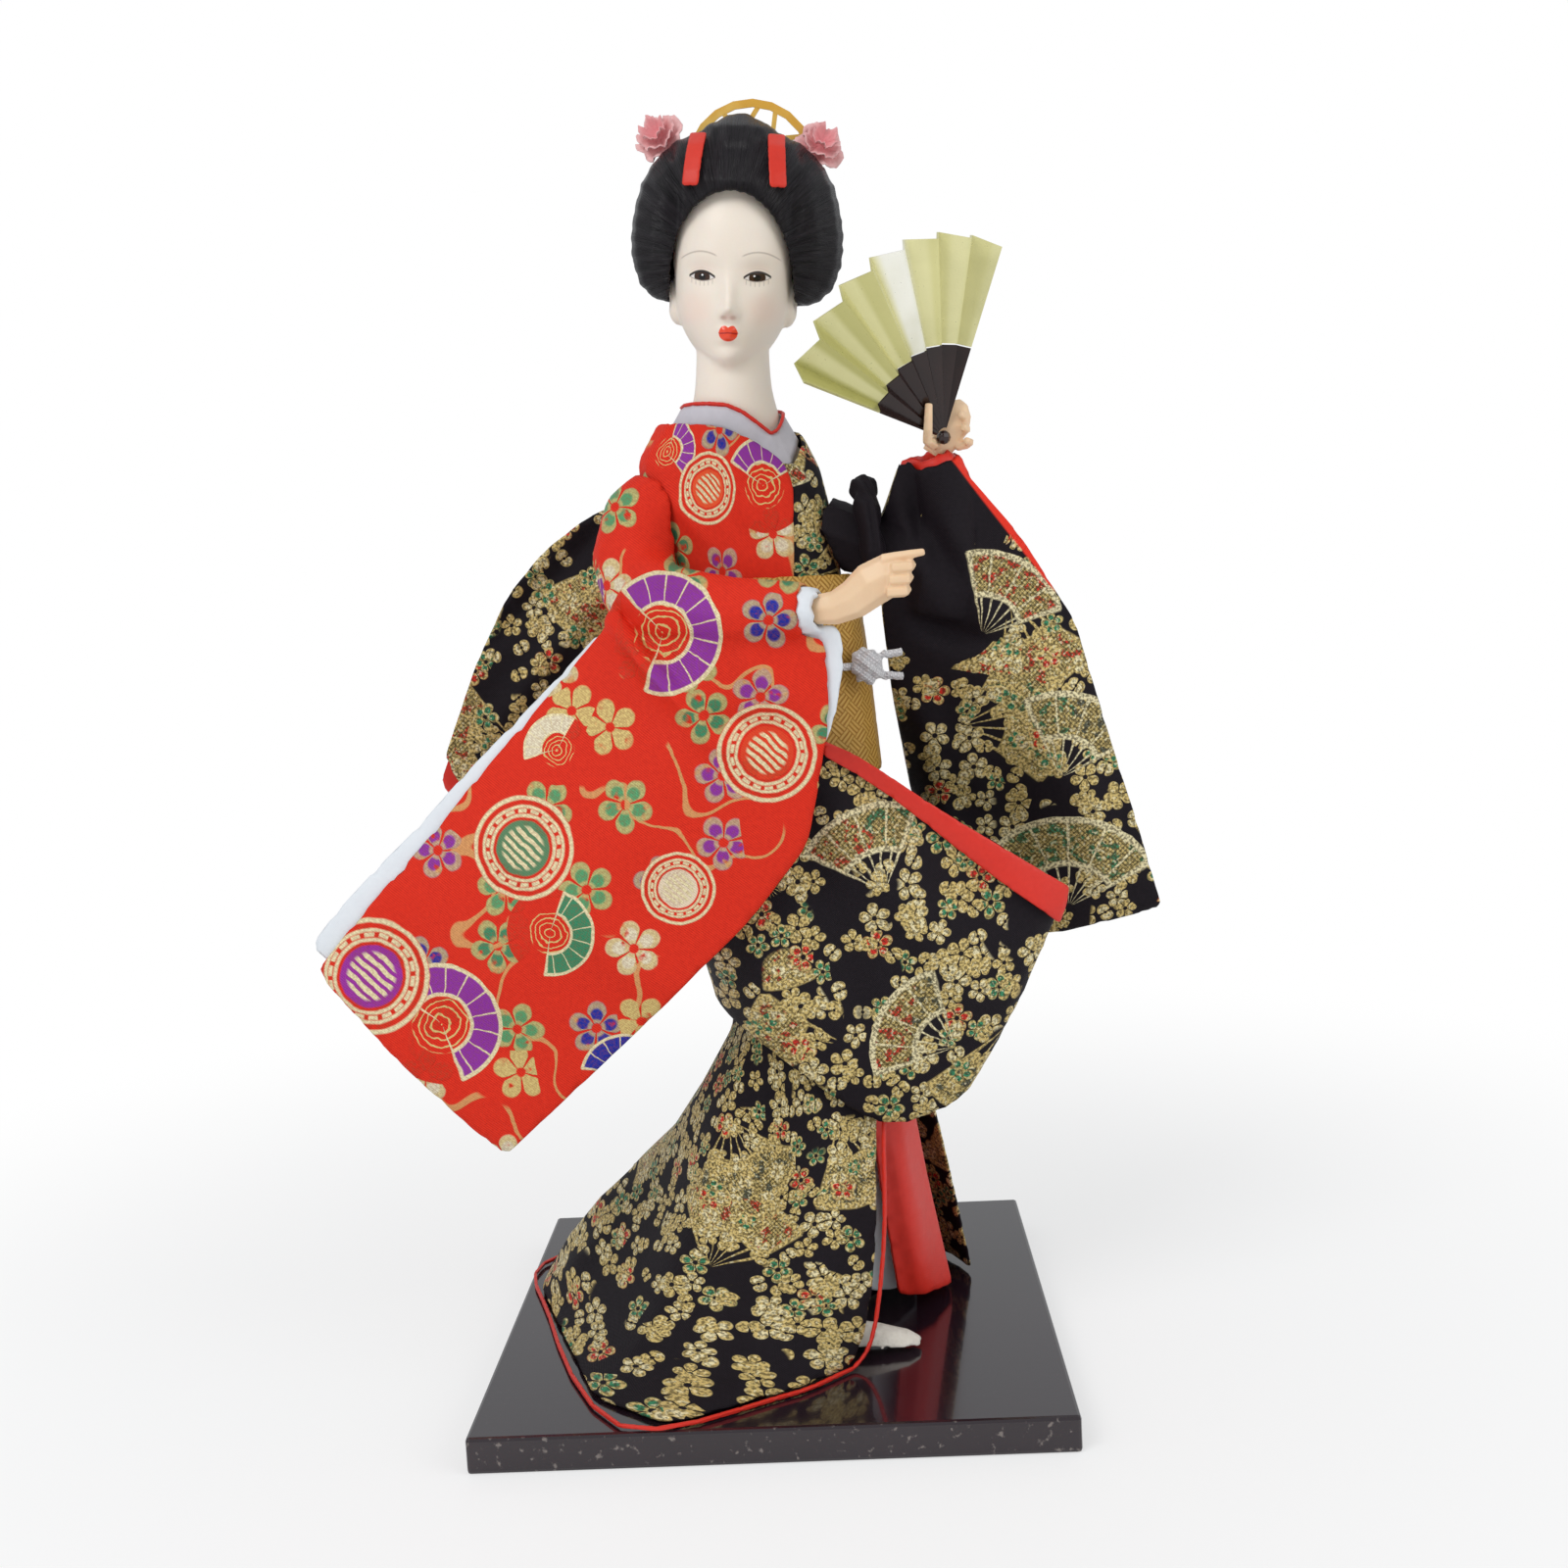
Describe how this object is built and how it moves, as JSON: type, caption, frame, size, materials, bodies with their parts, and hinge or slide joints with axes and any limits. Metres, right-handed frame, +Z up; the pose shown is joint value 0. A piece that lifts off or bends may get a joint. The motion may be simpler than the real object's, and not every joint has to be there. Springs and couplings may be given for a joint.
{
  "type": "geisha doll",
  "caption": "Standing geisha doll in layered kimono with long sleeves, sash and trailing skirt, one hand holding a fan, on a flat square board.",
  "frame": {"origin": "centre of the board's underside", "axes": "+Z up, the doll faces -Y, +X towards the viewer's right"},
  "size_m": [0.2003, 0.1327, 0.2992],
  "materials": {
    "lacquer": "black gloss lacquer",
    "steel": "plain steel rod",
    "padding": "wound padding",
    "porcelain": "satin cream skin",
    "hair": "combed black thread",
    "gold": "gold foil",
    "ribbon": "red ribbon",
    "pink": "pink cloth",
    "silk": "pale grey silk",
    "red_brocade": "red woven brocade",
    "black_brocade": "black woven brocade with gold thread",
    "white_lining": "white lining cloth",
    "red_lining": "red lining satin",
    "obi": "ochre and gold weave",
    "cord": "white braided cord",
    "black_stick": "dark brown black gloss"
  },
  "bodies": {
    "root": {"base_board": "lacquer", "black_bodice": "black_brocade", "black_gather": "black_brocade", "black_sleeve_left": "black_brocade", "black_sleeve_left_lining": "red_lining", "black_sleeve_right": "black_brocade", "black_sleeve_right_lining": "red_lining", "body_core": "padding", "collar_piping": "red_lining", "comb": "gold", "fan_leaf": "gold", "fan_pivot": "black_stick", "fan_sticks": "black_stick", "hair_cap": "hair", "hair_flower_left": "pink", "hair_flower_right": "pink", "hair_ribbon_left": "ribbon", "hair_ribbon_right": "ribbon", "hair_topknot": "hair", "head": "porcelain", "hip_flap": "black_brocade", "hip_flap_band": "red_lining", "left_arm": "padding", "left_foot": "white_lining", "left_hand": "porcelain", "obi": "obi", "obi_bow": "obi", "obijime": "cord", "obijime_knot": "cord", "red_bodice": "red_brocade", "red_sleeve": "red_brocade", "red_sleeve_lining": "white_lining", "right_arm": "padding", "right_foot": "white_lining", "right_hand": "porcelain", "skirt": "black_brocade", "skirt_piping": "red_lining", "support_rod": "steel", "under_collar": "silk", "underskirt_red": "red_lining", "underskirt_white": "white_lining"}
  },
  "joints": []
}
